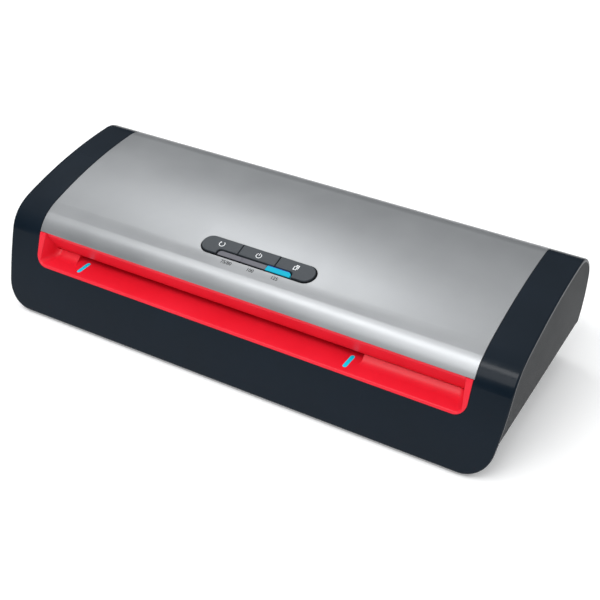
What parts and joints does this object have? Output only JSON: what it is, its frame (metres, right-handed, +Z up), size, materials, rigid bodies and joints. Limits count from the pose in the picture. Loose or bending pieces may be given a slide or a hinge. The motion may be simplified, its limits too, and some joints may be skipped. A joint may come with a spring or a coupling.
{
  "type": "pouch laminator",
  "caption": "Low desktop pouch laminator: wrapped silver cover, dark end bands, red feed recess, key panel, heated and pulling roller pairs with a gear train.",
  "frame": {"origin": "on the ground, under the middle of the body's outline", "axes": "+X along the width, to the right seen from the feed side; +Y from the feed side to the exit side; +Z up"},
  "size_m": [0.3952, 0.1577, 0.0921],
  "materials": {
    "shell_dark": "semi-gloss blue-black moulded plastic",
    "cover_silver": "satin silver paint on plastic",
    "panel_grey": "matte dark grey moulded plastic",
    "tray_black": "fine textured black plastic",
    "foot_rubber": "soft black rubber",
    "guide_red": "glossy red plastic",
    "mark_cyan": "pale blue inlay",
    "path_plastic": "heat resistant plastic",
    "button_grey": "satin dark grey plastic",
    "light_clear": "smoked translucent plastic",
    "board_green": "green solder mask",
    "board_devices": "black device bodies",
    "lamp_white": "white lamp bodies",
    "plate_steel": "zinc plated sheet steel",
    "bush_plastic": "natural bearing plastic",
    "spring_steel": "blued spring steel",
    "shaft_steel": "ground steel",
    "roller_silicone": "brick red silicone rubber",
    "heater_aluminium": "extruded aluminium",
    "heater_ceramic": "white ceramic and mica",
    "sensor_metal": "drawn aluminium cap",
    "gear_plastic": "natural acetal",
    "motor_steel": "zinc plated can"
  },
  "bodies": {
    "body": {"housing_shell": "shell_dark", "deck_rear": "shell_dark", "exit_guide": "shell_dark", "control_bezel": "shell_dark", "top_cover": "cover_silver", "side_panel_left": "panel_grey", "side_panel_right": "panel_grey", "base_tray": "tray_black", "tray_walls": "tray_black", "tray_pillars": "tray_black", "cord_gland": "tray_black", "foot_front_left": "foot_rubber", "foot_rear_left": "foot_rubber", "foot_front_right": "foot_rubber", "foot_rear_right": "foot_rubber", "feed_guide_lower": "guide_red", "feed_guide_upper": "guide_red", "size_marks": "mark_cyan", "path_guide_lower": "path_plastic", "path_guide_upper": "path_plastic", "light_bar_thin": "light_clear", "light_bar_medium": "light_clear", "light_bar_thick": "light_clear", "control_board": "board_green", "power_board": "board_green", "board_switches": "board_devices", "board_parts": "board_devices", "board_lamps": "lamp_white", "frame_plate_left": "plate_steel", "frame_plate_right": "plate_steel", "motor_bracket": "plate_steel", "bushings": "bush_plastic", "pressure_springs": "spring_steel", "tie_rods": "shaft_steel", "idler_pin": "shaft_steel", "machine_screws": "shaft_steel", "heater_shoe_lower": "heater_aluminium", "heater_shoe_upper": "heater_aluminium", "heater_strips": "heater_ceramic", "thermal_fuse": "heater_ceramic", "thermostat": "sensor_metal", "gearbox": "motor_steel", "drive_motor": "motor_steel"},
    "heat_roller_lower": {"heat_lower_shaft": "shaft_steel", "heat_lower_sleeve": "roller_silicone", "heat_gear_lower": "gear_plastic"},
    "heat_roller_upper": {"heat_upper_shaft": "shaft_steel", "heat_upper_sleeve": "roller_silicone", "heat_gear_upper": "gear_plastic"},
    "pull_roller_lower": {"pull_lower_shaft": "shaft_steel", "pull_lower_sleeve": "roller_silicone", "pull_gear_lower": "gear_plastic"},
    "pull_roller_upper": {"pull_upper_shaft": "shaft_steel", "pull_upper_sleeve": "roller_silicone", "pull_gear_upper": "gear_plastic"},
    "idler": {"idler_gear": "gear_plastic"},
    "pinion": {"motor_pinion": "gear_plastic"},
    "key_reverse": {"button_reverse": "button_grey"},
    "key_power": {"button_power": "button_grey"},
    "key_mode": {"button_mode": "button_grey"}
  },
  "joints": [
    {"name": "heat_roller_lower_spin", "type": "hinge", "parent": "body", "child": "heat_roller_lower", "pos_m": [-0.0261, -0.008, 0.0294], "axis": [1, 0, 0], "continuous": true},
    {"name": "heat_roller_upper_spin", "type": "hinge", "parent": "body", "child": "heat_roller_upper", "pos_m": [-0.0261, -0.008, 0.0518], "axis": [1, 0, 0], "continuous": true},
    {"name": "idler_spin", "type": "hinge", "parent": "body", "child": "idler", "pos_m": [-0.0261, 0.0132, 0.0294], "axis": [1, 0, 0], "continuous": true},
    {"name": "pull_roller_lower_spin", "type": "hinge", "parent": "body", "child": "pull_roller_lower", "pos_m": [-0.0261, 0.0344, 0.0294], "axis": [1, 0, 0], "continuous": true},
    {"name": "pull_roller_upper_spin", "type": "hinge", "parent": "body", "child": "pull_roller_upper", "pos_m": [-0.0261, 0.0344, 0.0518], "axis": [1, 0, 0], "continuous": true},
    {"name": "pinion_spin", "type": "hinge", "parent": "body", "child": "pinion", "pos_m": [-0.0261, -0.0251, 0.02318], "axis": [1, 0, 0], "continuous": true},
    {"name": "reverse_press", "type": "slide", "parent": "body", "child": "key_reverse", "axis": [0, 0.2761, -0.9611], "range_m": [0, 0.0008], "stiffness_N_per_m": 400, "springref_m": -0.0012},
    {"name": "power_press", "type": "slide", "parent": "body", "child": "key_power", "axis": [0, 0.2761, -0.9611], "range_m": [0, 0.0008], "stiffness_N_per_m": 400, "springref_m": -0.0012},
    {"name": "mode_press", "type": "slide", "parent": "body", "child": "key_mode", "axis": [0, 0.2761, -0.9611], "range_m": [0, 0.0008], "stiffness_N_per_m": 400, "springref_m": -0.0012}
  ],
  "couplings": [
    {"joint": "heat_roller_upper_spin", "follows": "heat_roller_lower_spin", "ratio": -1},
    {"joint": "idler_spin", "follows": "heat_roller_lower_spin", "ratio": -1.1},
    {"joint": "pull_roller_lower_spin", "follows": "heat_roller_lower_spin", "ratio": 1},
    {"joint": "pull_roller_upper_spin", "follows": "heat_roller_lower_spin", "ratio": -1},
    {"joint": "pinion_spin", "follows": "heat_roller_lower_spin", "ratio": -1.5714}
  ]
}
